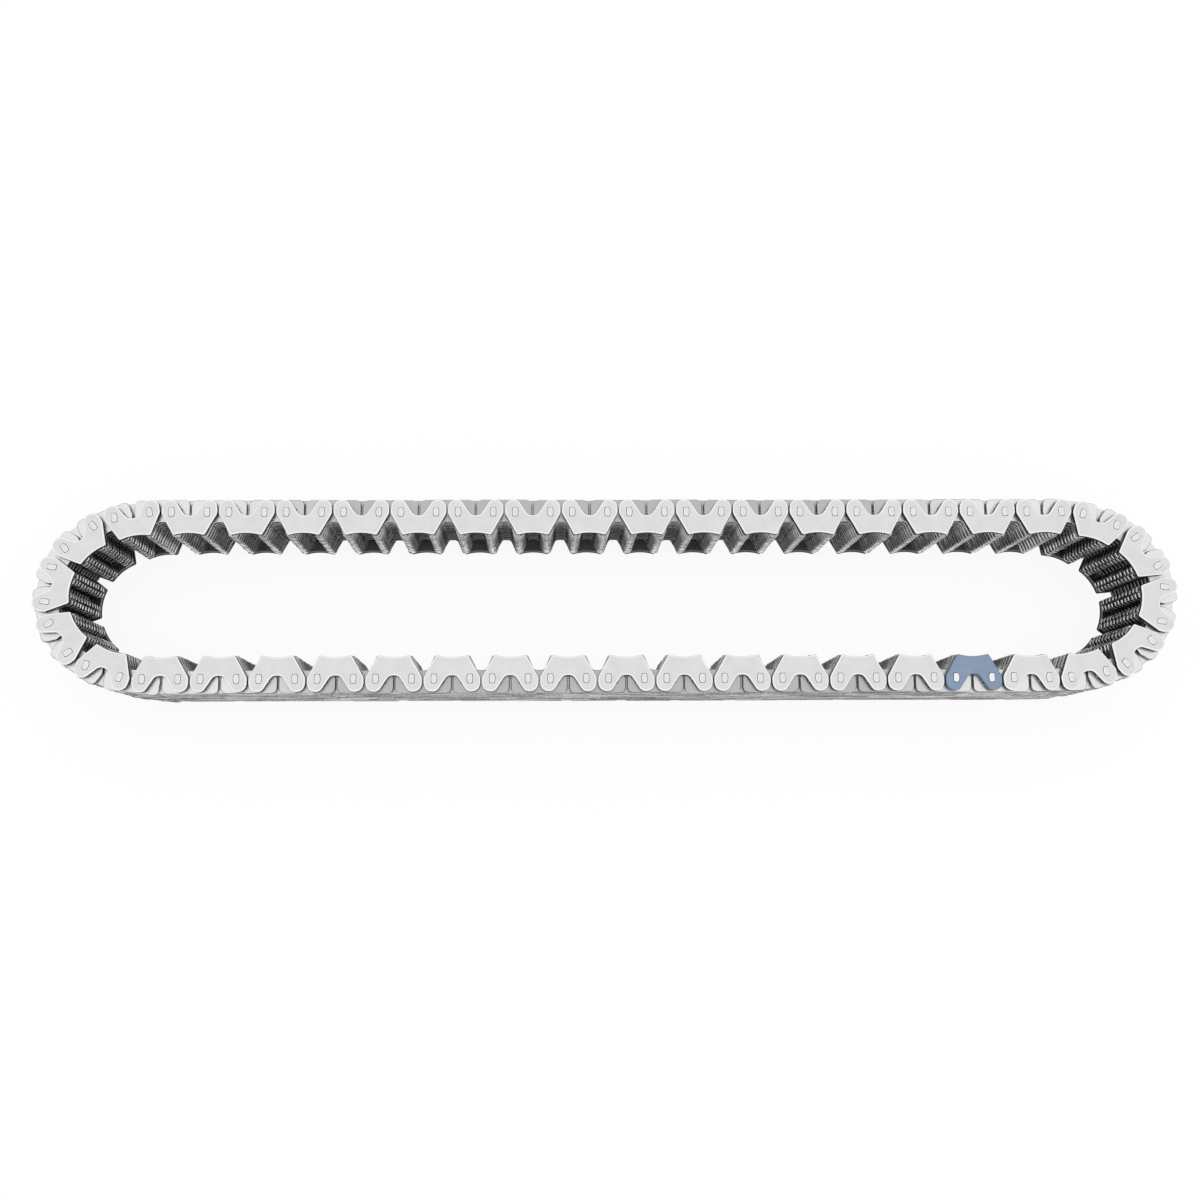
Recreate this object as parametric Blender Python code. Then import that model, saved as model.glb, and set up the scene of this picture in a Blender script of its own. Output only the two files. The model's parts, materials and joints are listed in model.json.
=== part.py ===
"""Pump drive chain: an endless inverted-tooth chain lying on its side.

The loop lies in the XY plane and its width runs up +Z. The origin is under the
middle of the loop, at the height of the lower rivet heads. Teeth point into the
loop and flat backs point out. Sizes below are in millimetres.
"""
import math

import bmesh
import bpy
from mathutils import Matrix, Vector

for old in list(bpy.data.objects):
    bpy.data.objects.remove(old, do_unlink=True)

MM = 0.001

# The loop
PITCH = 9.525
LINKS = 84
END_CENTRE = 8.4
END_SPAN = 12.0
END_EASE = 0.8

# The stack of plates across the width
WIDTH = 29.4
GUIDE_THICKNESS = 1.5
HEAD_PROUD = 0.35
CLEARANCE = 0.3
PLATES_PER_ROW = 6

# Plate outline, from the pin line: teeth on +Y, back on -Y
PLATE_END_GAP = 0.3
TIP_HEIGHT = 7.85
TIP_REACH = 5.15
TOOTH_LAND = 1.55
TOOTH_CROTCH = 3.0
TOOTH_CROTCH_HALF = 1.6
BACK_HEIGHT = 4.65
BACK_CHAMFER = 0.9
GUIDE_BACK = 4.1
GUIDE_DIP = 0.8
GUIDE_CROTCH = 1.0
GUIDE_CROTCH_HALF = 2.0

# Long pins and rockers
PIN_THICKNESS = 1.8
PIN_HEIGHT = 2.9
PIN_CROWN = 0.35
PIN_CORNER = 0.45

# How far a joint swings: bending shut, and back past straight
MOST_BEND = 27.0
MOST_BACK = 5.0

HALF_LENGTH = PITCH - PLATE_END_GAP / 2
Z_BOTTOM = HEAD_PROUD
Z_TOP = HEAD_PROUD + WIDTH
Z_MIDDLE = HEAD_PROUD + WIDTH / 2
Z_PIN_END = Z_TOP + HEAD_PROUD
LOWER_ROW = (Z_BOTTOM + GUIDE_THICKNESS + CLEARANCE, Z_MIDDLE - CLEARANCE / 2)
UPPER_ROW = (Z_MIDDLE + CLEARANCE / 2, Z_TOP - GUIDE_THICKNESS - CLEARANCE)
PIN_NEAR = CLEARANCE / 2
PIN_FAR = PIN_NEAR + PIN_THICKNESS


def material(name, colour, roughness, metallic):
    made = bpy.data.materials.new(name)
    made.use_nodes = True
    shader = made.node_tree.nodes["Principled BSDF"]
    shader.inputs["Base Color"].default_value = (*colour, 1)
    shader.inputs["Roughness"].default_value = roughness
    shader.inputs["Metallic"].default_value = metallic
    return made


PLATE_STEEL = material("brushed plate steel", (0.70, 0.70, 0.69), 0.34, 0.9)
GUIDE_STEEL = material("guide plate steel", (0.76, 0.76, 0.75), 0.30, 0.9)
PIN_STEEL = material("pin steel", (0.62, 0.61, 0.58), 0.26, 1.0)
MARK_PAINT = material("blue assembly mark", (0.21, 0.31, 0.48), 0.45, 0.2)


def mirrored(half):
    """A right half from back to front, closed by its own mirror image."""
    left = [(-x, y) for x, y in reversed(half) if abs(x) > 1e-9]
    return half + left


def guide_outline(steps):
    """Guide plate: two round lobes behind, a back crotch between them, two tips in front."""
    lobe = GUIDE_BACK
    centre = HALF_LENGTH - lobe
    half = [(0, GUIDE_CROTCH), (GUIDE_CROTCH_HALF, 0)]
    for i in range(steps + 1):
        turn = math.radians(-90 + 90 * i / steps)
        half.append((centre + lobe * math.cos(turn), lobe * math.sin(turn)))
    half.append((TIP_REACH, TIP_HEIGHT))
    half.append((0, TIP_HEIGHT - GUIDE_DIP))
    return mirrored(half)


def tooth_outline():
    """Inner plate: flat back with chamfered corners, two teeth with a crotch between them."""
    half = [
        (HALF_LENGTH - BACK_CHAMFER, -BACK_HEIGHT),
        (HALF_LENGTH, 0),
        (TIP_REACH, TIP_HEIGHT),
        (TIP_REACH - TOOTH_LAND, TIP_HEIGHT),
        (TOOTH_CROTCH_HALF, TOOTH_CROTCH),
    ]
    return mirrored(half)


def pin_outline(margin=0.0):
    """Pin section beside its joint, on +X: crowned where it rolls, flat where it seats."""
    near, far, tall = PIN_NEAR - margin, PIN_FAR + margin, PIN_HEIGHT / 2 + margin
    return [
        (near, 0),
        (near + PIN_CROWN, -tall + PIN_CORNER),
        (near + PIN_CROWN + PIN_CORNER, -tall),
        (far - PIN_CORNER, -tall),
        (far, -tall + PIN_CORNER),
        (far, tall - PIN_CORNER),
        (far - PIN_CORNER, tall),
        (near + PIN_CROWN + PIN_CORNER, tall),
        (near + PIN_CROWN, tall - PIN_CORNER),
    ]


def plain_pin_outline():
    """The same pin with square corners, for the pairs of links."""
    tall = PIN_HEIGHT / 2
    return [(PIN_NEAR, -tall), (PIN_FAR, -tall), (PIN_FAR, tall), (PIN_NEAR, tall)]


def pin_sweep():
    """Where the neighbour's pin reaches while its joint swings: back, front, inner and outer side."""
    reach = math.hypot(PIN_FAR, PIN_HEIGHT / 2)
    corner = math.degrees(math.atan2(PIN_HEIGHT / 2, PIN_FAR))
    near = math.hypot(PIN_NEAR, PIN_HEIGHT / 2)
    near_corner = math.degrees(math.atan2(PIN_HEIGHT / 2, PIN_NEAR))
    back = reach * math.sin(math.radians(min(90, corner + MOST_BEND)))
    front = reach * math.sin(math.radians(corner + MOST_BACK))
    outer = near * -math.cos(math.radians(near_corner + MOST_BEND))
    return back + CLEARANCE, front + CLEARANCE, reach + CLEARANCE, outer + CLEARANCE


def aperture_outline(seat):
    """Opening at a plate's +X end, around its joint, which lies at the local origin."""
    back, front, inner, outer = pin_sweep()
    outer = PIN_FAR + CLEARANCE if seat else outer
    return [
        (outer, -back),
        (outer, front),
        (-PIN_FAR, front),
        (-inner, front / 2),
        (-inner, -back),
    ]


def turned(outline, degrees):
    c, s = math.cos(math.radians(degrees)), math.sin(math.radians(degrees))
    return [(c * x - s * y, s * x + c * y) for x, y in outline]


def moved(outline, x, y=0.0):
    return [(px + x, py + y) for px, py in outline]


def flipped(outline):
    return [(-x, y) for x, y in reversed(outline)]


def prism(outline, low, high):
    """A closed upright prism over an outline, as a loose object."""
    mesh = bpy.data.meshes.new("prism")
    bm = bmesh.new()
    base = bm.faces.new([bm.verts.new((x * MM, y * MM, low * MM)) for x, y in outline])
    grown = bmesh.ops.extrude_face_region(bm, geom=[base])["geom"]
    top = [v for v in grown if isinstance(v, bmesh.types.BMVert)]
    bmesh.ops.translate(bm, verts=top, vec=(0, 0, (high - low) * MM))
    bmesh.ops.recalc_face_normals(bm, faces=bm.faces)
    bm.to_mesh(mesh)
    bm.free()
    made = bpy.data.objects.new("prism", mesh)
    bpy.context.scene.collection.objects.link(made)
    return made


def combine(body, tool, operation):
    """Union or difference with a loose object, which is used up."""
    modifier = body.modifiers.new(operation.lower(), "BOOLEAN")
    modifier.operation = operation
    modifier.solver = "EXACT"
    modifier.object = tool
    seen = bpy.context.evaluated_depsgraph_get()
    mesh = bpy.data.meshes.new_from_object(body.evaluated_get(seen))
    body.modifiers.clear()
    body.data = mesh
    bpy.data.objects.remove(tool, do_unlink=True)
    return body


def far_joint(bend=None):
    """The last joint of a run of links that starts at the local origin along +X."""
    turn = math.radians(bend or 0.0)
    first = Vector((PITCH, 0, 0))
    return first if bend is None else first + PITCH * Vector((math.cos(turn), math.sin(turn), 0))


def guide_stack():
    """A guide link as one solid: two guide plates, its lower row, and both long pins."""
    solid = prism(flipped(plain_pin_outline()), 0, Z_PIN_END)
    stack = [
        (guide_outline(2), Z_BOTTOM, Z_BOTTOM + GUIDE_THICKNESS),
        (tooth_outline(), *LOWER_ROW),
        (guide_outline(2), Z_TOP - GUIDE_THICKNESS, Z_TOP),
    ]
    for outline, low, high in stack:
        solid = combine(solid, prism(moved(outline, PITCH / 2), low, high), "UNION")
    return combine(solid, prism(moved(plain_pin_outline(), PITCH), 0, Z_PIN_END), "UNION")


def upper_row(start, bend, near, far):
    """An inner link's row as one solid from start, turned by bend, with openings at the named ends."""

    def set_out(outline):
        return moved(turned(outline, bend), start)

    row = prism(set_out(moved(tooth_outline(), PITCH / 2)), *UPPER_ROW)
    cuts = [moved(aperture_outline(far == "wide"), PITCH)] if far else []
    cuts += [flipped(aperture_outline(near == "wide"))] if near else []
    for cut in cuts:
        row = combine(row, prism(set_out(cut), UPPER_ROW[0] - 1, UPPER_ROW[1] + 1), "DIFFERENCE")
    return row


def finished(solid, origin):
    """The mesh of a loose solid, triangulated, with its origin moved onto a joint."""
    bm = bmesh.new()
    bm.from_mesh(solid.data)
    bmesh.ops.remove_doubles(bm, verts=bm.verts, dist=1e-6)
    bmesh.ops.dissolve_limit(bm, angle_limit=math.radians(0.5), verts=bm.verts, edges=bm.edges)
    bmesh.ops.triangulate(bm, faces=bm.faces)
    bmesh.ops.recalc_face_normals(bm, faces=bm.faces)
    bm.transform(Matrix.Translation(-MM * origin))
    mesh = solid.data
    bm.to_mesh(mesh)
    bm.free()
    bpy.data.objects.remove(solid, do_unlink=True)
    return mesh


def joint_bends():
    """Turn at each of the joints, in degrees: nearly even round both ends, none between."""
    shares = []
    for j in range(LINKS):
        off = (j + 0.5 - END_CENTRE + LINKS / 4) % (LINKS / 2) - LINKS / 4
        reach = math.cos(math.pi * off / END_SPAN) if abs(off) < END_SPAN / 2 else 0.0
        shares.append(reach**END_EASE if reach > 0 else 0.0)
    whole = sum(shares[: LINKS // 2])
    return [180.0 * share / whole for share in shares]


def loop_frames():
    """Start point and heading of every link, with the loop centred on the origin."""
    bends = joint_bends()
    frames = []
    at, heading = Vector((0.0, 0.0)), 0.0
    for k in range(LINKS):
        frames.append((at.copy(), heading))
        turn = math.radians(heading)
        at += PITCH * Vector((math.cos(turn), math.sin(turn)))
        heading += bends[k]
    middle = sum((f[0] for f in frames), Vector((0.0, 0.0))) / LINKS
    return [(f[0] - middle, f[1]) for f in frames], bends


FRAMES, BENDS = loop_frames()
OPPOSITE = LINKS // 2
LOOP = bpy.data.objects.new("chain_loop", None)
bpy.context.scene.collection.objects.link(LOOP)


def place(mesh, name, coat, link, joint):
    """An object whose origin is the named joint, turned to its link's heading."""
    made = bpy.data.objects.new(name, mesh)
    bpy.context.scene.collection.objects.link(made)
    if not mesh.materials:
        mesh.materials.append(coat)
    at = FRAMES[joint % LINKS][0]
    made.location = (at.x * MM, at.y * MM, 0)
    made.rotation_euler = (0, 0, math.radians(FRAMES[link][1]))
    made.parent = LOOP
    return made


def pair_name(link):
    """Where a pair of links lies round the loop, then its number there."""
    spots = {2: "right_end", 14: "top_run", 44: "left_end", 56: "bottom_run"}
    first = max(k for k in spots if k <= link)
    return f"link_pair_{spots[first]}_{(link - first) // 2 + 1:02d}"


# Pairs of links: a guide link and the inner link that follows it. Those up to the
# opposite link hang on the joint before them, and the rest on the joint after them.
SHAPES = {}
for link in range(2, LINKS, 2):
    if link == OPPOSITE:
        continue
    bend = round(BENDS[link], 6)
    past = link > OPPOSITE
    far = "wide" if link + 2 == LINKS else "plain"
    if (bend, past, far) not in SHAPES:
        solid = combine(guide_stack(), upper_row(PITCH, bend, None, far), "UNION")
        origin = far_joint(bend) if past else Vector((0, 0, 0))
        SHAPES[bend, past, far] = finished(solid, origin)
    place(SHAPES[bend, past, far], pair_name(link), GUIDE_STEEL, link, link + 2 if past else link)

# The guide link opposite the marked one, and the inner link after it
START = Vector((0, 0, 0))
END = far_joint()
place(finished(guide_stack(), START), "guide_link_opposite", GUIDE_STEEL, OPPOSITE, OPPOSITE)
ROW = finished(upper_row(0, 0, "plain", "plain"), END)
place(ROW, "inner_link_opposite", PLATE_STEEL, OPPOSITE + 1, OPPOSITE + 2)


# The marked guide link and the inner link after it, piece by piece
def pierced(outline, hole, low, high):
    """A plate with the same hole round both of its joints."""
    plate = prism(moved(outline, PITCH / 2), low, high)
    for cut in (flipped(hole), moved(hole, PITCH)):
        plate = combine(plate, prism(cut, low - 1, high + 1), "DIFFERENCE")
    return finished(plate, START)


def row_levels(row):
    """Lower and upper face of each plate in a row."""
    thick = (row[1] - row[0] - (PLATES_PER_ROW - 1) * CLEARANCE) / PLATES_PER_ROW
    lows = [row[0] + i * (thick + CLEARANCE) for i in range(PLATES_PER_ROW)]
    return [(low, low + thick) for low in lows]


for name, coat, low in (
    ("marked_guide_plate", MARK_PAINT, Z_TOP - GUIDE_THICKNESS),
    ("lower_guide_plate", GUIDE_STEEL, Z_BOTTOM),
):
    plate = pierced(guide_outline(4), pin_outline(CLEARANCE), low, low + GUIDE_THICKNESS)
    place(plate, name, coat, 0, 0)

for link, owner, row in ((0, "guide", LOWER_ROW), (1, "inner", UPPER_ROW)):
    for number, (low, high) in enumerate(row_levels(row), 1):
        plate = pierced(tooth_outline(), aperture_outline(True), low, high)
        place(plate, f"{owner}_link_toothed_plate_{number}", PLATE_STEEL, link, link)

for name, outline, low, high, link in (
    ("long_pin_left", flipped(pin_outline()), 0, Z_PIN_END, 0),
    ("long_pin_right", pin_outline(), 0, Z_PIN_END, 1),
    ("rocker_pin_left", pin_outline(), LOWER_ROW[0], UPPER_ROW[1], 0),
    ("rocker_pin_right", flipped(pin_outline()), LOWER_ROW[0], UPPER_ROW[1], 1),
):
    place(finished(prism(outline, low, high), START), name, PIN_STEEL, link, link)
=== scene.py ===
# %% [markdown]
# # A pump drive chain
#
# The chain is an endless loop of flat steel plates with two teeth each, laced on pins.
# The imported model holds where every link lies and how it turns. This notebook gives the
# links their thin plates, their pins and their finish, and lights them.

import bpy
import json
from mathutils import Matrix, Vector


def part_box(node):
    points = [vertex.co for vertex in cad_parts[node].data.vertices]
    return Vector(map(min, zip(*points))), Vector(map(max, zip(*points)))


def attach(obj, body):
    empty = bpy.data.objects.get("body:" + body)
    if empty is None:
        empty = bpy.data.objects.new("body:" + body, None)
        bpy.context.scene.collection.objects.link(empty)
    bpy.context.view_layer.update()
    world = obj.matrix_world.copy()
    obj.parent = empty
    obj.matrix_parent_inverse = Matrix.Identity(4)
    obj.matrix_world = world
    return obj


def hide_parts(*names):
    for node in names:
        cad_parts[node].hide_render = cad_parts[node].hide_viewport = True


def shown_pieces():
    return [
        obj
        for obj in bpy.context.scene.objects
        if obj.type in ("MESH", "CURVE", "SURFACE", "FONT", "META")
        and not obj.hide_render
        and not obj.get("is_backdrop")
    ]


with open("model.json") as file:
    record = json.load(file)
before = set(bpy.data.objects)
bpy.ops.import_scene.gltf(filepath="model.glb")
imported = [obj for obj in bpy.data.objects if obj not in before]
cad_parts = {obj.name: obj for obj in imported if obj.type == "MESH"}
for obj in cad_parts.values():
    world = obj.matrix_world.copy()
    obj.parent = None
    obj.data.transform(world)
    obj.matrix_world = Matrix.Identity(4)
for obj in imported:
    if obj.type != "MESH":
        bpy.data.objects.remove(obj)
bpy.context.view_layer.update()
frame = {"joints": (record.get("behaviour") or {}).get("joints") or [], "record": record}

# %% [markdown]
# ## Levels across the width
#
# The chain lies on its side, so its width runs up Z. The frame already has the two guide
# plates and the pins at their real levels, so the levels are measured there. A real chain
# of this width has about 23 toothed plates between its guide plates, each a little over
# 1 mm. A small gap stays under each guide plate, as on a chain that has to bend freely.

# %% Levels
import json
import math

import bmesh
import bpy
from mathutils import Matrix, Vector

MM = 0.001
UPPER_GUIDE = [corner.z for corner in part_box("marked_guide_plate")]
LOWER_GUIDE = [corner.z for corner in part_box("lower_guide_plate")]
PIN_LEVELS = [corner.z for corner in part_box("long_pin_left")]
TOOTHED_PLATES = 23
GUIDE_GAP = 0.3 * MM
STACK = (LOWER_GUIDE[1] + GUIDE_GAP, UPPER_GUIDE[0] - GUIDE_GAP)
MID_WIDTH = (STACK[0] + STACK[1]) / 2
LEVEL_STEP = (STACK[1] - STACK[0]) / TOOTHED_PLATES
PLATE_PLAY = 0.03 * MM
print("each toothed plate has", round(LEVEL_STEP / MM, 3), "mm of the width")

# %% [markdown]
# ## The loop of pivots
#
# A chain is drawn by its pivots: one every pitch. Between them it turns a little at each
# pivot round the two ends and not at all on the two runs. One rule for the turn gives the
# whole loop, and the pivots that the frame states show whether the rule is right.

# %% Where each link starts and heads
PITCH = 9.525 * MM
LINKS = 84
END_CENTRE = 8.4
END_SPAN = 12.0
END_EASE = 0.8


def turn_at(pivot):
    """Share of the half turn that this pivot takes, before the shares are evened out."""
    off = (pivot + 0.5 - END_CENTRE + LINKS / 4) % (LINKS / 2) - LINKS / 4
    if abs(off) >= END_SPAN / 2:
        return 0.0
    return math.cos(math.pi * off / END_SPAN) ** END_EASE


def lay_out_links():
    """Middle and heading of every link, with the loop centred on the origin."""
    shares = [turn_at(pivot) for pivot in range(LINKS)]
    half_turn = sum(shares[: LINKS // 2])
    pivots, headings = [Vector((0, 0, 0))], [0.0]
    for share in shares:
        step = Vector((math.cos(headings[-1]), math.sin(headings[-1]), 0))
        pivots.append(pivots[-1] + PITCH * step)
        headings.append(headings[-1] + math.pi * share / half_turn)
    centre = sum(pivots[:-1], Vector()) / LINKS
    pivots = [pivot - centre for pivot in pivots]
    middles = [(a + b) / 2 for a, b in zip(pivots, pivots[1:])]
    return pivots, list(zip(middles, headings))


PIVOTS, LINK_PLACES = lay_out_links()
stated = [Vector((*joint["pos_m"][:2], 0)) for joint in frame["joints"]]
misses = [min((pivot - place).length for pivot in PIVOTS) for place in stated]
print("pivots miss the frame's by at most", round(max(misses) / MM, 4), "mm")

# %% [markdown]
# ## Which body carries which link
#
# The frame moves the links in pairs: a guide link and the inner link after it turn as one
# body. The marked link and the one opposite it, with their neighbours, are bodies of their
# own. The names follow the links round the loop.

# %% Bodies and their links
OPPOSITE = LINKS // 2
BODY_LINKS = {
    "marked_link": [0],
    "inner_link_beside_mark": [1],
    "guide_link_opposite": [OPPOSITE],
    "inner_link_opposite": [OPPOSITE + 1],
}
for stretch, first, pairs in (
    ("right_end", 2, 6),
    ("top_run", 14, 14),
    ("left_end", OPPOSITE + 2, 6),
    ("bottom_run", OPPOSITE + 14, 14),
):
    for number in range(pairs):
        link = first + 2 * number
        BODY_LINKS[f"link_pair_{stretch}_{number + 1:02d}"] = [link, link + 1]

# %% [markdown]
# ## Outlines with rounded corners
#
# Stamped plates have no sharp corners, because a press tool wears round. It is easiest to
# write a plate as a few corners, each with its own radius, and to let one helper swing an
# arc round each. Half an outline is enough, since every plate is the same both ways round.
# A corner is (x, y, radius) in mm from the link's middle, with the teeth toward +Y.

# %% Outline helpers
FINE = 20
COARSE = 40


def rounded(corners, step=FINE):
    """A closed outline from corners (x, y, radius), each swung as chords of so many degrees."""
    outline = []
    for i, (x, y, radius) in enumerate(corners):
        corner = Vector((x, y))
        back = (Vector(corners[i - 1][:2]) - corner).normalized()
        ahead = (Vector(corners[(i + 1) % len(corners)][:2]) - corner).normalized()
        half = back.angle(ahead) / 2
        centre = corner + (back + ahead).normalized() * (radius / math.sin(half))
        spoke = corner + back * (radius / math.tan(half)) - centre
        turn = (math.pi - 2 * half) * (1 if back.cross(ahead) < 0 else -1)
        chords = max(1, round(abs(math.degrees(turn)) / step))
        for k in range(chords + 1):
            outline.append(centre + Matrix.Rotation(turn * k / chords, 2) @ spoke)
    return outline


def both_halves(half, between=()):
    """Corners of a right half from back to front, those in between, and the mirror image."""
    return half + list(between) + [(-x, y, radius) for x, y, radius in reversed(half)]


def inset(outline, distance):
    """The outline moved inwards by a distance, corner by corner."""
    least_lean = 0.5
    moved = []
    for i, corner in enumerate(outline):
        before = (corner - outline[i - 1]).normalized()
        after = (outline[(i + 1) % len(outline)] - corner).normalized()
        normal = Vector((-before.y - after.y, before.x + after.x)).normalized()
        lean = max(least_lean, normal.dot(Vector((-before.y, before.x))))
        moved.append(corner + normal * (distance / lean))
    return moved


# %% [markdown]
# ## One plate as a closed solid
#
# Tumbling breaks the edge all round each face of a stamped plate. That small edge is what
# catches the light in a stack of plates, so it is real geometry here. The walls are rings
# of faces between levels, and the two faces are filled round their holes. The cuts that
# the fill leaves inside a flat face are dissolved, in a fixed order, so that every run
# leaves the same few.


# %% Build a flat part from levels
SHARP_DEGREES = 32
FLAT_DEGREES = 1


def flat_part(name, outline, levels, holes=()):
    """A closed part: the outline, inset as each (level, inset) says, with plain holes through it."""
    bm = bmesh.new()

    def ring(points, z):
        return [bm.verts.new((p.x * MM, p.y * MM, z)) for p in points]

    def walls(low, high):
        for i in range(len(low)):
            bm.faces.new((low[i - 1], low[i], high[i], high[i - 1]))

    rings = [ring(inset(outline, amount / MM), z) for z, amount in levels]
    for low, high in zip(rings, rings[1:]):
        walls(low, high)
    bores = [[ring(hole, z) for z in (levels[0][0], levels[-1][0])] for hole in holes]
    for low, high in bores:
        walls(low, high)
    for edge in bm.edges:
        edge.smooth = edge.calc_face_angle(0) < math.radians(SHARP_DEGREES)
    for side in (0, -1):
        loops = [rings[side]] + [bore[side] for bore in bores]
        edges = [
            bm.edges.get((loop[i - 1], corner)) for loop in loops for i, corner in enumerate(loop)
        ]
        for edge in edges:
            edge.smooth = False
        filled = bmesh.ops.triangle_fill(bm, edges=edges, use_beauty=True)["geom"]
        faces = [item for item in filled if isinstance(item, bmesh.types.BMFace)]
        rim = set(edges)
        cuts = dict.fromkeys(edge for face in faces for edge in face.edges if edge not in rim)
        bmesh.ops.dissolve_limit(
            bm, angle_limit=math.radians(FLAT_DEGREES), verts=[], edges=list(cuts)
        )
    bmesh.ops.recalc_face_normals(bm, faces=bm.faces)
    mesh = bpy.data.meshes.new(name)
    bm.to_mesh(mesh)
    bm.free()
    mesh.shade_smooth()
    part = bpy.data.objects.new(name, mesh)
    bpy.context.scene.collection.objects.link(part)
    print(name, "has", len(mesh.polygons), "faces")
    return part


# %% [markdown]
# ## Pins and the openings for them
#
# Each pivot is two pins that roll on each other: a long one, pressed into the guide plates,
# and a short rocker that stays between them. Their section is a rounded bar with a crowned
# side where they roll. An opening round a pivot seats one pin and lets the other swing.

# %% Pin section and openings
PIN_NEAR = 0.15
PIN_FAR = 1.95
PIN_HALF_HEIGHT = 1.45
PIN_CROWN = 0.3
CROWN_RADIUS = 2.0
CROWN_END_RADIUS = 0.35
BAR_RADIUS = 0.45
SEAT_GAP = 0.1
SEAT_START = 0.3
STEP_RADIUS = 0.2
SWING_BACK = 2.45
SWING_FRONT = 1.9
SWING_REACH = 2.73
SWING_SLANT = 0.5
PIVOT_OUT = PITCH / MM / 2


def pin_section(grow=0.0):
    """The pin at a link's +X end, measured from the link's middle."""
    near, far = PIVOT_OUT + PIN_NEAR, PIVOT_OUT + PIN_FAR + grow
    tall = PIN_HALF_HEIGHT + grow
    return [
        (near - grow, -PIN_CROWN, CROWN_RADIUS),
        (near + PIN_CROWN - grow, -tall, CROWN_END_RADIUS),
        (far, -tall, BAR_RADIUS),
        (far, tall, BAR_RADIUS),
        (near + PIN_CROWN - grow, tall, CROWN_END_RADIUS),
        (near - grow, PIN_CROWN, CROWN_RADIUS),
    ]


def opening():
    """The opening at a toothed plate's +X end: a seat for its own pin, then room to swing."""
    seat_end = PIVOT_OUT + PIN_FAR + SEAT_GAP
    seat = PIN_HALF_HEIGHT + SEAT_GAP
    inner = PIVOT_OUT - SWING_REACH
    return [
        (seat_end, -seat, BAR_RADIUS),
        (seat_end, seat, BAR_RADIUS),
        (PIVOT_OUT + SEAT_START, seat, STEP_RADIUS),
        (PIVOT_OUT - SEAT_START, SWING_FRONT, STEP_RADIUS),
        (inner + SWING_SLANT, SWING_FRONT, 0.5),
        (inner, -SWING_BACK, 0.6),
        (PIVOT_OUT - SEAT_START, -SWING_BACK, 0.3),
        (PIVOT_OUT + SEAT_START, -seat, STEP_RADIUS),
    ]


def at_both_ends(corners):
    """An outline at a link's +X end and the same outline at its other end."""
    outline = rounded(corners, COARSE)
    return [outline, [Vector((-p.x, p.y)) for p in reversed(outline)]]


print("a pin's section has", len(rounded(pin_section(), COARSE)), "corners")

# %% [markdown]
# ## The toothed plate
#
# It has a flat back, two teeth and a round crotch between them. The flanks lean 30 degrees,
# as the sprocket's teeth do. Its ends stop a little short of the next plate's, so that they
# don't meet when the chain bends back. It is stamped by the thousand, so one plate is
# modelled once and stays light: everything else is repetition.

# %% Toothed plate
HALF_LENGTH = 9.28
BACK_HEIGHT = 4.65
SHOULDER = 0.5
TIP_HEIGHT = 7.85
TIP_REACH = 5.15
TOOTH_LAND = 1.55
TOOTH_CROTCH = 3.0
TOOTH_CROTCH_HALF = 1.6
BROKEN_EDGE = 0.2 * MM


def edge_levels(low, high):
    """Levels of a plate from low to high whose two faces have a broken edge."""
    return [
        (low, BROKEN_EDGE),
        (low + BROKEN_EDGE, 0),
        (high - BROKEN_EDGE, 0),
        (high, BROKEN_EDGE),
    ]


tooth_half = [
    (HALF_LENGTH, -BACK_HEIGHT, 1.7),
    (HALF_LENGTH, SHOULDER, 1.2),
    (TIP_REACH, TIP_HEIGHT, 0.45),
    (TIP_REACH - TOOTH_LAND, TIP_HEIGHT, 0.4),
    (TOOTH_CROTCH_HALF, TOOTH_CROTCH, 1.3),
]
toothed_plate = flat_part(
    "toothed_plate",
    rounded(both_halves(tooth_half), COARSE),
    edge_levels(PLATE_PLAY, LEVEL_STEP - PLATE_PLAY),
    at_both_ends(opening()),
)

# %% [markdown]
# ## The guide plate
#
# It has no crotch between its tips, because it runs beside the sprocket and keeps the chain
# on it. Its back is cut away between two lobes, which makes it softer than the toothed
# plates. The arc between the tips is shallow, so it is worked out from its own sag. Its
# edges are rolled over, more along the face than down the wall, and are painted pale as a
# highlight rim. Its holes are a little larger than the pins, so a thin dark line shows round
# each pin.

# %% Guide plate
GUIDE_BACK = 4.25
GUIDE_HALF = 9.28
GUIDE_CROTCH = 1.1
GUIDE_CROTCH_HALF = 1.5
LOBE_START = 5.0
GUIDE_DIP = 0.8
DIP_CHORDS = 8
DIP_RADIUS = 2.0
ROLLED_EDGE = [(0, 0.44), (0.13, 0.11), (0.25, 0)]
HOLE_GAP = 0.14


def dip(reach, sag):
    """Corners of the shallow arc from the right tip to the left one, tips left out."""
    radius = (reach**2 + sag**2) / (2 * sag)
    half_angle = math.asin(reach / radius)
    angles = [half_angle * (1 - 2 * k / DIP_CHORDS) for k in range(1, DIP_CHORDS)]
    rise = TIP_HEIGHT - sag
    return [
        (radius * math.sin(a), rise + radius - radius * math.cos(a), DIP_RADIUS)
        for a in angles
    ]


guide_half = [
    (GUIDE_CROTCH_HALF, GUIDE_CROTCH, 2.0),
    (LOBE_START, -GUIDE_BACK, 2.2),
    (GUIDE_HALF, -GUIDE_BACK, 2.8),
    (GUIDE_HALF, SHOULDER, 1.4),
    (TIP_REACH, TIP_HEIGHT, 0.7),
]
guide_outline = rounded(both_halves(guide_half, dip(TIP_REACH, GUIDE_DIP)))
guide_thick = LOWER_GUIDE[1] - LOWER_GUIDE[0]
rolled_levels = [(down * MM, amount * MM) for down, amount in ROLLED_EDGE]
rolled_levels += [(guide_thick - down, amount) for down, amount in reversed(rolled_levels)]
guide_plate = flat_part(
    "guide_plate", guide_outline, rolled_levels, at_both_ends(pin_section(HOLE_GAP))
)

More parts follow.
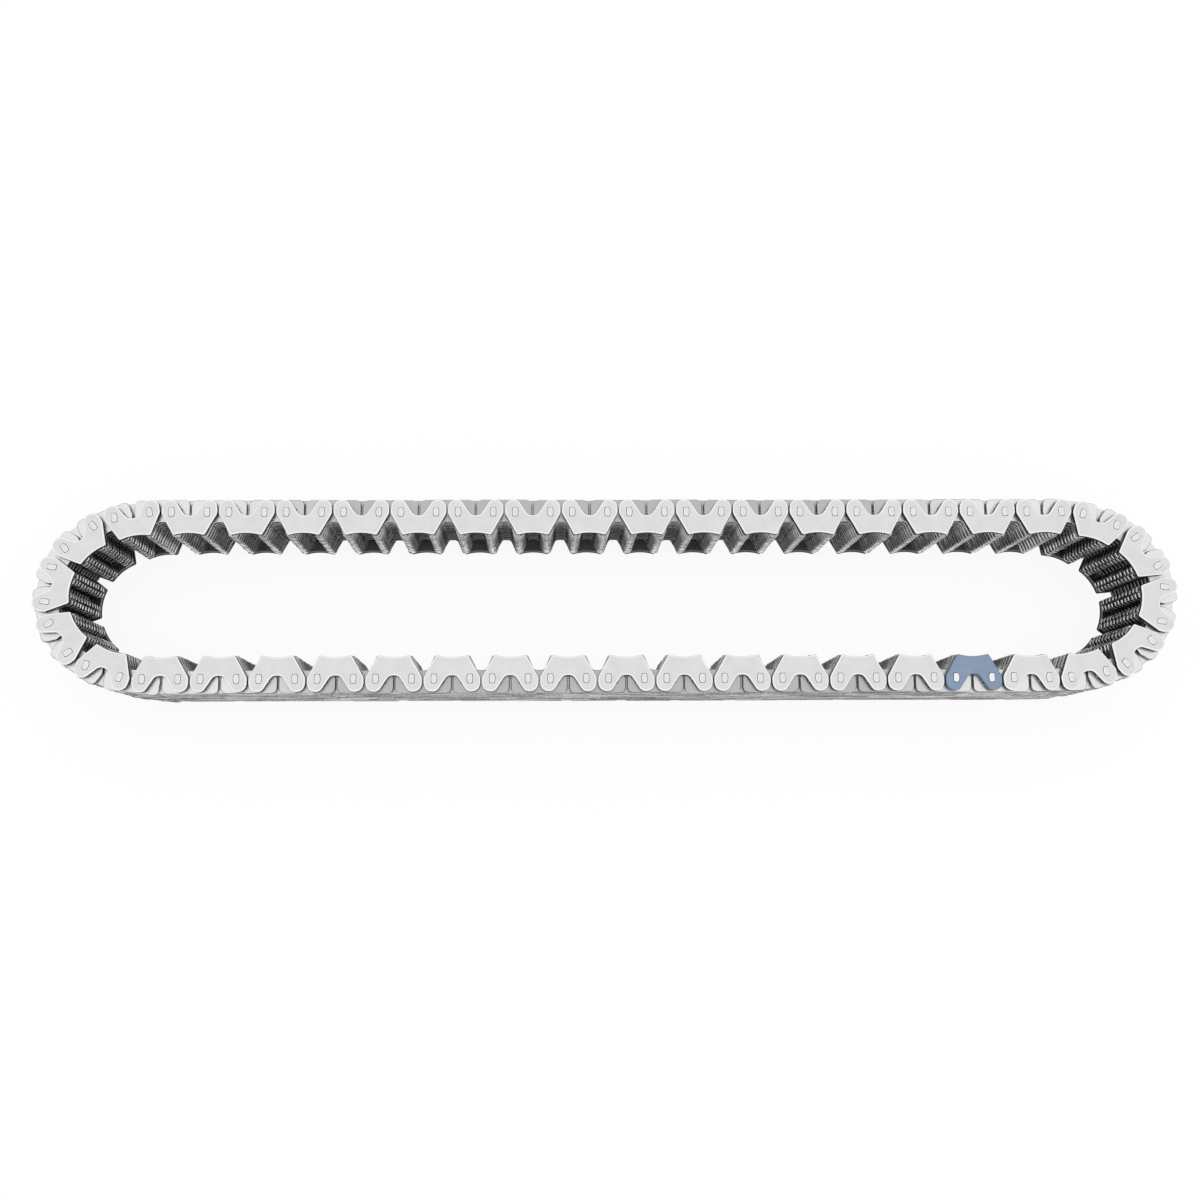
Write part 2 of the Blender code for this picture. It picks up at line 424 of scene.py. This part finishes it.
# %% [markdown]
# ## Long pins and rockers
#
# A long pin is pressed through both guide plates and stands a little proud of them, with
# its ends rounded. A rocker is the same bar, cut off inside the guide plates. The two pins
# of a link are one part, because they are always placed together.

# %% Pins
HEAD_ROUND = 0.22 * MM
HEAD_SIDE = 0.1 * MM
ROCKER_SHORT = 0.3 * MM


def pair_of_pins(name, levels):
    """The two pins of one link as one part of two closed bodies."""
    first, second = [
        flat_part(f"{name}_{side}", outline, levels)
        for side, outline in enumerate(at_both_ends(pin_section()))
    ]
    bm = bmesh.new()
    for half in (first, second):
        bm.from_mesh(half.data)
    bm.to_mesh(first.data)
    bm.free()
    bpy.data.objects.remove(second, do_unlink=True)
    return first


pin_low, pin_high = PIN_LEVELS
long_pins = pair_of_pins(
    "long_pins",
    [
        (pin_low, HEAD_ROUND),
        (pin_low + HEAD_SIDE, 0),
        (pin_high - HEAD_SIDE, 0),
        (pin_high, HEAD_ROUND),
    ],
)
rockers = pair_of_pins(
    "rockers",
    edge_levels(LOWER_GUIDE[1] + ROCKER_SHORT, UPPER_GUIDE[0] - ROCKER_SHORT),
)

# %% [markdown]
# ## A small language for nodes
#
# Node trees written call by call are hard to read. A thin wrapper round an output socket
# lets `1 - mask` add its own Math node, and one method adds any other node: its type, its
# settings first, and then the values or wires of its sockets.


# %% Node helpers
class Wire:
    """An output socket that can be used in arithmetic."""

    def __init__(self, graph, socket):
        self.graph = graph
        self.socket = socket

    def maths(self, operation, *values):
        sockets = dict(enumerate(values))
        return self.graph.add("ShaderNodeMath", {"operation": operation}, sockets)

    def __add__(self, other):
        return self.maths("ADD", self, other)

    def __sub__(self, other):
        return self.maths("SUBTRACT", self, other)

    def __rsub__(self, other):
        return self.maths("SUBTRACT", other, self)

    def __mul__(self, other):
        return self.maths("MULTIPLY", self, other)

    def __gt__(self, other):
        return self.maths("GREATER_THAN", self, other)

    __radd__ = __add__
    __rmul__ = __mul__

    def absolute(self):
        return self.maths("ABSOLUTE", self)

    def between(self, low, high):
        """0 below low, 1 above high and smooth in between."""
        return self.graph.add(
            "ShaderNodeMapRange",
            {"interpolation_type": "SMOOTHSTEP"},
            {"Value": self, "From Min": low, "From Max": high},
        )


class Graph:
    """A node tree that nodes are added to, one call each."""

    def __init__(self, tree):
        self.tree = tree

    def add(self, kind, settings=None, sockets=None, out=0):
        node = self.tree.nodes.new(kind)
        for name, value in (settings or {}).items():
            setattr(node, name, value)
        for key, value in (sockets or {}).items():
            if isinstance(value, Wire):
                self.tree.links.new(value.socket, node.inputs[key])
            else:
                node.inputs[key].default_value = value
        return Wire(self, node.outputs[out] if node.outputs else None)

    def part_of(self, vector, axis):
        """One component of a vector."""
        return self.add("ShaderNodeSeparateXYZ", None, {0: vector}, out=axis)


# %% [markdown]
# ## Stacking parts on links
#
# The same part comes back on every link and on every level, so a node tree places it. It
# takes one point for each link, with the link's heading and its row: 0 for an inner link
# and 1 for a guide link. Its other inputs say which part each row gets, where the levels
# lie, and how much play the parts have.

# %% Inputs of the stacking tree
STACK_SOCKETS = {
    "Links": "Geometry",
    "Inner link part": "Object",
    "Guide link part": "Object",
    "Levels": "Int",
    "Lowest level": "Float",
    "Level step": "Float",
    "Guide row lift": "Float",
    "Highest level": "Float",
    "Play": "Float",
    "Seed": "Int",
    "Finish": "Material",
}

stack_tree = bpy.data.node_groups.new("stack of parts", "GeometryNodeTree")
STACK_INPUTS = {}
for label, kind in STACK_SOCKETS.items():
    item = stack_tree.interface.new_socket(
        label, in_out="INPUT", socket_type="NodeSocket" + kind
    )
    STACK_INPUTS[label] = item.identifier
stack_tree.interface.new_socket("Parts", in_out="OUTPUT", socket_type="NodeSocketGeometry")
print("the stacking tree takes", len(STACK_INPUTS), "inputs")

# %% [markdown]
# ## A column of levels on every link
#
# Every link gets a column of points, one for each level. The column of a guide link is
# lifted, so that its plates lie between those of the inner links. Each point moves by a
# small random play, and points above the highest level are dropped.

# %% Points on every level
g = Graph(stack_tree)
source = stack_tree.nodes.new("NodeGroupInput")


def given(name):
    return Wire(g, source.outputs[name])


def named(name, kind):
    settings = {"data_type": kind}
    return g.add("GeometryNodeInputNamedAttribute", settings, {"Name": name})


def vector(x=0.0, y=0.0, z=0.0):
    return g.add("ShaderNodeCombineXYZ", None, {"X": x, "Y": y, "Z": z})


column = g.add(
    "GeometryNodeMeshLine",
    None,
    {"Count": given("Levels"), "Offset": vector(z=given("Level step"))},
)
columns = g.add(
    "GeometryNodeInstanceOnPoints", None, {"Points": given("Links"), "Instance": column}
)
level_points = g.add("GeometryNodeRealizeInstances", None, {"Geometry": columns})
row = named("row", "INT")
lift = given("Lowest level") + row * given("Guide row lift")
slack = g.add(
    "FunctionNodeRandomValue",
    {"data_type": "FLOAT_VECTOR"},
    {
        0: vector(given("Play") * -1, given("Play") * -1),
        1: vector(given("Play"), given("Play")),
        "Seed": given("Seed"),
    },
)
raised = g.add("ShaderNodeVectorMath", {"operation": "ADD"}, {0: vector(z=lift), 1: slack})
placed = g.add(
    "GeometryNodeSetPosition", None, {"Geometry": level_points, "Offset": raised}
)
position = g.add("GeometryNodeInputPosition")
too_high = g.part_of(position, "Z") > given("Highest level")
kept = g.add("GeometryNodeDeleteGeometry", None, {"Geometry": placed, "Selection": too_high})
print("the levels take", len(stack_tree.nodes), "nodes")

# %% [markdown]
# ## Parts on the levels
#
# The points of each row get that row's part, turned to the link's heading. Every part also
# keeps its own coordinates and a shade of its own, so that the finish can tell the back of
# a plate from its teeth, and one plate from the next.


# %% Parts on every point
def parts_on(wanted_row, part_name):
    """The named part on every kept point of one row, with its own coordinates and shade."""
    part = g.add("GeometryNodeObjectInfo", None, {"Object": given(part_name)}, out="Geometry")
    measured = g.add(
        "GeometryNodeStoreNamedAttribute",
        {"data_type": "FLOAT_VECTOR", "domain": "POINT"},
        {"Geometry": part, "Name": "on_plate", "Value": position},
    )
    chosen = g.add(
        "FunctionNodeCompare",
        {"data_type": "INT", "operation": "EQUAL"},
        {"A": row, "B": wanted_row},
    )
    heading = g.add(
        "FunctionNodeEulerToRotation", None, {0: vector(z=named("heading", "FLOAT"))}
    )
    instances = g.add(
        "GeometryNodeInstanceOnPoints",
        None,
        {"Points": kept, "Selection": chosen, "Instance": measured, "Rotation": heading},
    )
    shade = g.add(
        "FunctionNodeRandomValue",
        {"data_type": "FLOAT"},
        {"Seed": given("Seed") + wanted_row},
        out=1,
    )
    return g.add(
        "GeometryNodeStoreNamedAttribute",
        {"data_type": "FLOAT", "domain": "INSTANCE"},
        {"Geometry": instances, "Name": "plate_shade", "Value": shade},
    )


both_rows = stack_tree.nodes.new("GeometryNodeJoinGeometry")
for row_number, part_name in ((0, "Inner link part"), (1, "Guide link part")):
    stack_tree.links.new(parts_on(row_number, part_name).socket, both_rows.inputs[0])
real = g.add(
    "GeometryNodeRealizeInstances", None, {"Geometry": Wire(g, both_rows.outputs[0])}
)
finished = g.add(
    "GeometryNodeSetMaterial", None, {"Geometry": real, "Material": given("Finish")}
)
g.add("NodeGroupOutput", None, {0: finished})
print("the stacking tree has", len(stack_tree.nodes), "nodes")

# %% [markdown]
# ## Running the tree for one body
#
# Each body needs a plain mesh of its own, so that it can turn by itself. A helper puts the
# body's links in as points, sets the tree's inputs, and keeps the evaluated result.


# %% Make one piece
def link_points(links):
    """A mesh with one point for each link, which carries its heading and its row."""
    points = bpy.data.meshes.new("links")
    points.from_pydata([LINK_PLACES[link][0] for link in links], [], [])
    headings = points.attributes.new("heading", "FLOAT", "POINT")
    rows = points.attributes.new("row", "INT", "POINT")
    for i, link in enumerate(links):
        headings.data[i].value = LINK_PLACES[link][1]
        rows.data[i].value = 1 - link % 2
    return points


def stacked(name, links, finish, **inputs):
    """A plain mesh object with the tree's parts on the links."""
    holder = bpy.data.objects.new(name + "_links", link_points(links))
    bpy.context.scene.collection.objects.link(holder)
    modifier = holder.modifiers.new("stack", "NODES")
    modifier.node_group = stack_tree
    values = {label.replace("_", " ").capitalize(): value for label, value in inputs.items()}
    values["Seed"] = links[0]
    values["Finish"] = finish
    for label, value in values.items():
        modifier[STACK_INPUTS[label]] = value
    seen = bpy.context.evaluated_depsgraph_get()
    mesh = bpy.data.meshes.new_from_object(holder.evaluated_get(seen))
    mesh.name = name
    bpy.data.objects.remove(holder, do_unlink=True)
    piece = bpy.data.objects.new(name, mesh)
    bpy.context.scene.collection.objects.link(piece)
    return piece


# %% [markdown]
# ## Steel that has been stamped and tumbled
#
# The broad faces of the plates are pale and satin, from tumbling, and the edges are painted
# bright as a highlight. Stamped walls are darker, with streaks through the thickness. Shade
# is painted dark in the crotches, on the inner walls of the loop's two ends, and on faces
# that look into the stack. The same recipe with other numbers makes each steel of the
# chain. Its masks are numbers from 0 to 1 that say which way a surface faces, and where it
# lies on its plate and in the chain. Each pair below is where a mask starts and where it is
# full.

# %% Colours and masks
NOISE_CONTRAST = 1.6
FACE_UP = (0.94, 0.985)
WALL_UP = (0.15, 0.45)
INWARD = 4 * MM
FRONT = (-1 * MM, 1 * MM)
TIP = (5.8 * MM, 6.8 * MM)
CROTCH_SIDE = (3.4 * MM, 3.9 * MM)
OPEN_ABOVE = (17 * MM, 27 * MM)
OUTER_PLATES = (11.0 * MM, 11.6 * MM)
END_FACES = (80 * MM, 130 * MM)
END_WALLS = (140 * MM, 168 * MM)


def grey(value):
    return (value, value, value, 1)


def colour_mix(graph, share, first, second):
    """Two colours, plain or wired, mixed by a share."""
    return graph.add(
        "ShaderNodeMix", {"data_type": "RGBA"}, {0: share, 6: first, 7: second}, out=2
    )


def grey_range(graph, share, middle, span):
    """A grey between two multiples of a middle grey."""
    return colour_mix(graph, share, grey(middle * span[0]), grey(middle * span[1]))


def contrasted(pattern):
    return (pattern - 0.5) * NOISE_CONTRAST + 0.5


def either(first, second):
    """A mask that holds where one of two masks does."""
    return 1 - (1 - first) * (1 - second)


def new_material(name):
    """An empty material and the graph to fill it with."""
    made = bpy.data.materials.new(name)
    made.use_nodes = True
    made.node_tree.nodes.clear()
    return made, Graph(made.node_tree)


def noise(graph, place, scale, detail, roughness=0.5):
    sockets = {"Vector": place, "Scale": scale, "Detail": detail, "Roughness": roughness}
    return graph.add("ShaderNodeTexNoise", None, sockets)


def surface(graph, sockets, bump):
    """A principled shader and its bump, wired to the material's output."""
    sockets["Normal"] = graph.add("ShaderNodeBump", None, bump)
    shader = graph.add("ShaderNodeBsdfPrincipled", None, sockets)
    graph.add("ShaderNodeOutputMaterial", None, {"Surface": shader})


# %% [markdown]
# ## Walls and edges of the toothed plates
#
# A toothed plate isn't one grey all round. Its back is darker, and its flanks and tips
# are lighter. Its crotch and the inner walls at the loop's two ends are painted near black,
# as shade. Their edges are painted lighter toward the top, where light reaches, and bright
# glints are kept on the tips at the ends. Each plate came from the press a little lighter or
# darker, and noise stretched one way or the other adds streaks and smears.

# %% Walls and edges
# Shade is painted with a dark grey on the walls in the crotches and at the loop's ends. The crotch
# edges are painted lighter toward the top, as painted light.
SHADE_GREY = 0.045
END_SHADE = 0.95
LIT_TOP = 0.8
PLATE_SPREAD = 0.9
STREAK_SPREAD = 1.1
STREAKS = (1500.0, 1500.0, 180.0)
SMEARS = (110.0, 110.0, 450.0)
BACK_SPAN = (0.35, 1.65)
FRONT_SPAN = (0.4, 1.2)
BACK_EDGE_SPAN = (0.15, 0.75)
FRONT_EDGE_SPAN = (0.75, 1.08)
SHADED_EDGE_SHARE = 0.2


def toothed_walls(n, place, edge, back, flank, land):
    """Wall and edge greys of toothed plates, and the mask of the shade painted on their walls."""
    on_plate = n.add("ShaderNodeAttribute", {"attribute_name": "on_plate"}, out="Vector")
    across = n.part_of(on_plate, "X").absolute()
    forward = n.part_of(on_plate, "Y")
    in_front = forward.between(*FRONT)
    at_tip = forward.between(*TIP)
    in_crotch = in_front * (1 - across.between(*CROTCH_SIDE))
    at_end = n.part_of(place, "X").absolute().between(*END_WALLS) * in_front * END_SHADE
    # Painted shade: the crotches and the inner walls at the loop's ends are darkened, and so are
    # their edges. The edges toward the top, and those on the tips at the ends, keep a painted glint.
    shaded = either(in_crotch, at_end)
    open_above = n.part_of(place, "Z").between(*OPEN_ABOVE)
    shaded_edges = either(in_crotch * (1 - open_above * LIT_TOP), at_end * (1 - at_tip))

    shade = n.add("ShaderNodeAttribute", {"attribute_name": "plate_shade"}, out="Fac")
    share = (shade - 0.5) * PLATE_SPREAD + 0.5
    for scale in STREAKS, SMEARS:
        mapped = n.add("ShaderNodeMapping", None, {"Vector": place, "Scale": scale})
        share = share + (noise(n, mapped, scale=1.0, detail=2.0) - 0.5) * STREAK_SPREAD
    back_grey = grey_range(n, share, back, BACK_SPAN)
    flank_grey = grey_range(n, share, flank, FRONT_SPAN)
    land_grey = grey_range(n, share, land, FRONT_SPAN)
    unshaded_wall = colour_mix(n, in_front, back_grey, colour_mix(n, at_tip, flank_grey, land_grey))
    back_edge = grey_range(n, share, edge, BACK_EDGE_SPAN)
    front_edge = grey_range(n, share, edge, FRONT_EDGE_SPAN)
    unshaded_edge = colour_mix(n, in_front, back_edge, front_edge)
    wall_grey = colour_mix(n, shaded, unshaded_wall, grey(SHADE_GREY))
    edge_grey = colour_mix(n, shaded_edges, unshaded_edge, grey(edge * SHADED_EDGE_SHARE))
    return wall_grey, edge_grey, shaded


# %% [markdown]
# ## The steel itself
#
# Steel is all metal on its faces and edges. Walls are partly a dull coat, and all dull and
# near black where shade is painted on them: the walls in the toothed plates' crotches and at
# the loop's ends, and every wall of the guide plates and pins. Faces are a little cloudy,
# and faces that look into the stack are painted dark as shade. Toward the ends of the loop,
# the faces of the outermost toothed plates are painted lighter and the others darker, as
# painted light and shade. Edges are smoother than the rest, and a fine grain keeps
# reflections from being clean.

# %% Steel finish
FACE_SPAN = (0.93, 1.06)
# Greys of painted shade and light: faces that look into the stack, faces near the loop's ends, the
# walls of guide plates and pins, and their inner edges.
SHADED_FACE_GREY = 5 * SHADE_GREY
END_FACE_SPAN = (0.25, 1.6)
GUIDE_WALL = 0.35 * SHADE_GREY
INNER_EDGE = 0.15
WALL_METAL = 0.35
ROUGHNESS = 0.36
SHADED_ROUGHER = 0.4
EDGE_SMOOTHER = 0.16
BLOTCH_SCALE = 260.0
BLOTCH_WEAR = 0.25
GRAIN_SCALE = 2600.0
GRAIN_WEAR = 0.12
GRAIN_DEPTH = 0.03 * MM
GRAIN_STRENGTH = 0.25


def steel(name, face, edge, **walls):
    """Stamped steel from greys: face and edge, and for toothed plates back, flank and land."""
    made, n = new_material(name)
    place = n.add("ShaderNodeTexCoord", out="Object")
    from_middle = n.part_of(place, "Z") - MID_WIDTH
    up = n.part_of(n.add("ShaderNodeNewGeometry", out="Normal"), "Z")
    is_face = up.absolute().between(*FACE_UP)
    is_wall = 1 - up.absolute().between(*WALL_UP)
    is_edge = (1 - is_face) * (1 - is_wall)
    # Faces that look into the stack are painted dark as shade, and so are the inner edges of guide
    # plates and pins.
    inward = 1 - (up * from_middle).between(-INWARD, INWARD)
    blotches = noise(n, place, BLOTCH_SCALE, detail=4.0, roughness=0.6)
    grain = noise(n, place, GRAIN_SCALE, detail=3.0)
    unshaded_face = grey_range(n, contrasted(blotches), face, FACE_SPAN)
    face_grey = colour_mix(n, inward, unshaded_face, grey(SHADED_FACE_GREY))
    if walls:
        # Toward the loop's ends, the faces of the outermost plates are painted lighter and the
        # others darker, as painted light and shade.
        outermost = from_middle.absolute().between(*OUTER_PLATES)
        end_face = grey_range(n, outermost, face, END_FACE_SPAN)
        near_end = n.part_of(place, "X").absolute().between(*END_FACES)
        face_grey = colour_mix(n, near_end, face_grey, end_face)
        wall_grey, edge_grey, shaded = toothed_walls(n, place, edge, **walls)
    else:
        # The walls of guide plates and pins are painted near black as shade. Their edges are painted
        # bright as a highlight, except the inner ones.
        wall_grey = grey(GUIDE_WALL)
        edge_grey = colour_mix(n, inward, grey(edge), grey(edge * INNER_EDGE))
        shaded = is_wall
    side_grey = colour_mix(n, is_wall, edge_grey, wall_grey)
    wear = (blotches - 0.5) * BLOTCH_WEAR + (grain - 0.5) * GRAIN_WEAR
    rough = ROUGHNESS + wear + is_wall * shaded * SHADED_ROUGHER - is_edge * EDGE_SMOOTHER
    sockets = {
        "Base Color": colour_mix(n, is_face, side_grey, face_grey),
        "Roughness": rough,
        "Metallic": 1 - is_wall * (1 - (1 - shaded) * WALL_METAL),
        "Specular IOR Level": 0.0,
    }
    relief = grain + blotches * 2
    bump = {"Strength": GRAIN_STRENGTH, "Distance": GRAIN_DEPTH, "Height": relief}
    surface(n, sockets, bump)
    return made


# Edges are painted paler than faces, as a highlight. The toothed plates' faces are painted darker
# than the guide plates', as shade in the recesses where they show.
guide_steel = steel("guide plate steel", face=0.735, edge=0.9)
plate_steel = steel(
    "toothed plate steel", face=0.5, edge=0.92, back=0.2, flank=0.75, land=0.8
)
pin_steel = steel("pin steel", face=0.78, edge=0.92)
bright_pin = steel("pin steel beside paint", face=0.88, edge=0.92)
for made_steel in guide_steel, plate_steel, pin_steel, bright_pin:
    print(made_steel.name, "has", len(made_steel.node_tree.nodes), "nodes")

# %% [markdown]
# ## Paint on the marked plate
#
# One guide plate is dipped in thin blue paint, so that a fitter can line the chain up with
# a mark on the sprocket. The paint is satin and a little cloudy, and its walls and edges are
# painted darker, as shade.

# %% Blue paint
PAINT_DARK = (0.175, 0.24, 0.345, 1)
PAINT_LIGHT = (0.225, 0.305, 0.42, 1)
# Darker blue, painted on walls and edges as shade.
PAINT_SHADED = (0.085, 0.115, 0.18, 1)
SHADED_UP = (0.3, 0.97)
PAINT_ROUGHNESS = 0.42
PAINT_WEAR = 0.16
PAINT_METAL = 0.25
CLOUD_SCALE = 420.0
CLOUD_DEPTH = 0.04 * MM
CLOUD_STRENGTH = 0.3

blue_paint, n = new_material("blue mark paint")
place = n.add("ShaderNodeTexCoord", out="Object")
up = n.part_of(n.add("ShaderNodeNewGeometry", out="Normal"), "Z").absolute()
clouds = noise(n, place, CLOUD_SCALE, detail=4.0)
full_paint = colour_mix(n, contrasted(clouds), PAINT_DARK, PAINT_LIGHT)
# Walls and edges take the darker blue as painted shade.
surface(
    n,
    {
        "Base Color": colour_mix(n, up.between(*SHADED_UP), PAINT_SHADED, full_paint),
        "Roughness": PAINT_ROUGHNESS + clouds * PAINT_WEAR,
        "Metallic": PAINT_METAL,
    },
    {"Strength": CLOUD_STRENGTH, "Distance": CLOUD_DEPTH, "Height": clouds},
)
print(blue_paint.name, "has", len(n.tree.nodes), "nodes")

# %% [markdown]
# ## Dressing every body
#
# Now each body gets its pieces: toothed plates on all of its links, guide plates on its
# guide link, and pins. The levels of the two rows interleave, so every second plate belongs
# to the next link, and the outermost toothed plates belong to the inner links. The plates
# sit with a little play, which breaks up the walls of the stack. Each piece also hides the
# imported parts it stands for.

# %% Toothed plates, guide plates and pins
PLAY_IN_PLANE = 0.09 * MM
NO_LIMIT = 1.0
WITH_TEETH = ("toothed", "link_pair", "opposite")


def dress(piece, body, nodes):
    """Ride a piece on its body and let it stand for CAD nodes."""
    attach(piece, body)
    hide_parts(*nodes)


def guide_plates(name, links, finish, lowest, levels):
    return stacked(
        name,
        links,
        finish,
        guide_link_part=guide_plate,
        levels=levels,
        lowest_level=lowest,
        level_step=UPPER_GUIDE[0] - LOWER_GUIDE[0],
        highest_level=NO_LIMIT,
    )


made_pieces = 0
for body, links in BODY_LINKS.items():
    tag = body.replace("link_pair_", "")
    nodes = frame["record"]["behaviour"]["bodies"][body]
    plates = stacked(
        "toothed_plates_" + tag,
        links,
        plate_steel,
        inner_link_part=toothed_plate,
        guide_link_part=toothed_plate,
        levels=TOOTHED_PLATES // 2 + 1,
        lowest_level=STACK[0],
        level_step=2 * LEVEL_STEP,
        guide_row_lift=LEVEL_STEP,
        highest_level=STACK[1] - LEVEL_STEP / 2,
        play=PLAY_IN_PLANE,
    )
    toothed = [node for node in nodes if any(word in node for word in WITH_TEETH)]
    dress(plates, body, toothed)
    pins = stacked(
        "pins_" + tag,
        links,
        bright_pin if body == "marked_link" else pin_steel,
        inner_link_part=rockers,
        guide_link_part=long_pins,
        levels=1,
        highest_level=NO_LIMIT,
    )
    carried = [node for node in nodes if "pin" in node] or nodes
    dress(pins, body, carried)
    made_pieces += 2
    if body == "marked_link":
        blue = guide_plates("blue_guide_plate", links, blue_paint, UPPER_GUIDE[0], 1)
        dress(blue, body, ["marked_guide_plate"])
        plain = guide_plates("guide_plate_under_mark", links, guide_steel, LOWER_GUIDE[0], 1)
        dress(plain, body, ["lower_guide_plate"])
        made_pieces += 2
    elif links[0] % 2 == 0:
        guides = guide_plates("guide_plates_" + tag, links, guide_steel, LOWER_GUIDE[0], 2)
        dress(guides, body, nodes[:1])
        made_pieces += 1
for source_part in (toothed_plate, guide_plate, long_pins, rockers):
    bpy.data.objects.remove(source_part, do_unlink=True)
faces = sum(len(piece.data.polygons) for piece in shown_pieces())
print(made_pieces, "pieces with", faces, "faces")

# %% [markdown]
# ## Floor
#
# The chain lies on a plain pale floor, as on a sheet of white paper. The floor looks a little
# brighter to the eye, and in the steel, than its lamp makes it, so the background is white
# and a soft shadow stays.

# %% White floor
FLOOR_HALF = 3.0
FLOOR_CORNERS = [(-1, -1, 0), (1, -1, 0), (1, 1, 0), (-1, 1, 0)]
PAPER = 0.9
FLOOR_GLOW = 0.9


def seen_share(graph):
    """1 for what the eye sees, also mirrored or through glass, and 0 for what lights things."""
    path = graph.tree.nodes.new("ShaderNodeLightPath")
    kinds = "Camera", "Glossy", "Transmission"
    straight, mirrored, through = [Wire(graph, path.outputs[f"Is {kind} Ray"]) for kind in kinds]
    return straight + mirrored + through


floor_mesh = bpy.data.meshes.new("floor")
floor_mesh.from_pydata([Vector(c) * FLOOR_HALF for c in FLOOR_CORNERS], [], [(0, 1, 2, 3)])
floor = bpy.data.objects.new("floor", floor_mesh)
bpy.context.scene.collection.objects.link(floor)
floor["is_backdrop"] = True

floor_paper, n = new_material("white paper")
paper = n.add("ShaderNodeBsdfDiffuse", None, {"Color": grey(PAPER)})
glow = n.add("ShaderNodeEmission", None, {"Color": grey(1), "Strength": 1.0})
sheet = n.add("ShaderNodeMixShader", None, {0: seen_share(n) * FLOOR_GLOW, 1: paper, 2: glow})
n.add("ShaderNodeOutputMaterial", None, {"Surface": sheet})
floor_mesh.materials.append(floor_paper)
print("the floor is", 2 * FLOOR_HALF, "m wide")

# %% [markdown]
# ## Light
#
# One wide soft lamp hangs overhead, and a plain white sky fills in from all sides. Steel
# shows mostly what it reflects, so it sees the sky at its full level, and not the lamp,
# which would leave hot spots. The sky lights things at a little less than its full level,
# to make up for the lamp.

# %% Lamp and sky
LAMP_PLACE = Vector((0.1, 0.3, 1.4))
LAMP_AIM = Vector((0, 0.05, 0))
LAMP_SIZE = 2.8
LAMP_POWER = 16.0
LIT_SKY = 0.75

light = bpy.data.lights.new("overhead", "AREA")
light.shape = "DISK"
light.size = LAMP_SIZE
light.energy = LAMP_POWER
lamp = bpy.data.objects.new("overhead", light)
lamp.location = LAMP_PLACE
lamp.rotation_euler = (LAMP_AIM - LAMP_PLACE).to_track_quat("-Z", "Y").to_euler()
lamp.visible_glossy = False
bpy.context.scene.collection.objects.link(lamp)

world = bpy.data.worlds.new("studio")
world.use_nodes = True
world.node_tree.nodes.clear()
bpy.context.scene.world = world
n = Graph(world.node_tree)
strength = seen_share(n) * (1 - LIT_SKY) + LIT_SKY
sky = n.add("ShaderNodeBackground", None, {"Color": grey(1), "Strength": strength})
n.add("ShaderNodeOutputWorld", None, {"Surface": sky})
print("one lamp of", LAMP_POWER, "W and a sky of", LIT_SKY)

# %% [markdown]
# ## Camera
#
# The photograph looks down at the chain from just in front of it, about seven degrees off
# straight down, from a little under 0.4 m. That is close for an object this long, which is
# why each end shows the inner walls of its plates. The picture was cut from a wider one, so
# the lens is shifted a little instead of being turned. The turns are in degrees, and the
# focal length and the shift are in pixels of the photograph.

# %% Camera
CAMERA_PLACE = Vector((-22.3, -72.5, 396.7)) * MM
CAMERA_TURN = (7.578, -0.570, -0.208)
PHOTO_PIXELS = 1200
FOCAL_PIXELS = 1129.6
SHIFT_PIXELS = (47.6, 65.2)
SENSOR = 36.0
lens = bpy.data.cameras.new("camera")
lens.sensor_width = SENSOR
lens.lens = FOCAL_PIXELS / PHOTO_PIXELS * SENSOR
lens.shift_x = SHIFT_PIXELS[0] / PHOTO_PIXELS
lens.shift_y = SHIFT_PIXELS[1] / PHOTO_PIXELS
lens.clip_start = 10 * MM
camera = bpy.data.objects.new("camera", lens)
camera.location = CAMERA_PLACE
camera.rotation_euler = [math.radians(angle) for angle in CAMERA_TURN]
bpy.context.scene.collection.objects.link(camera)
bpy.context.scene.camera = camera
bpy.context.scene.view_settings.view_transform = "Standard"
print("lens", round(lens.lens, 1), "mm")
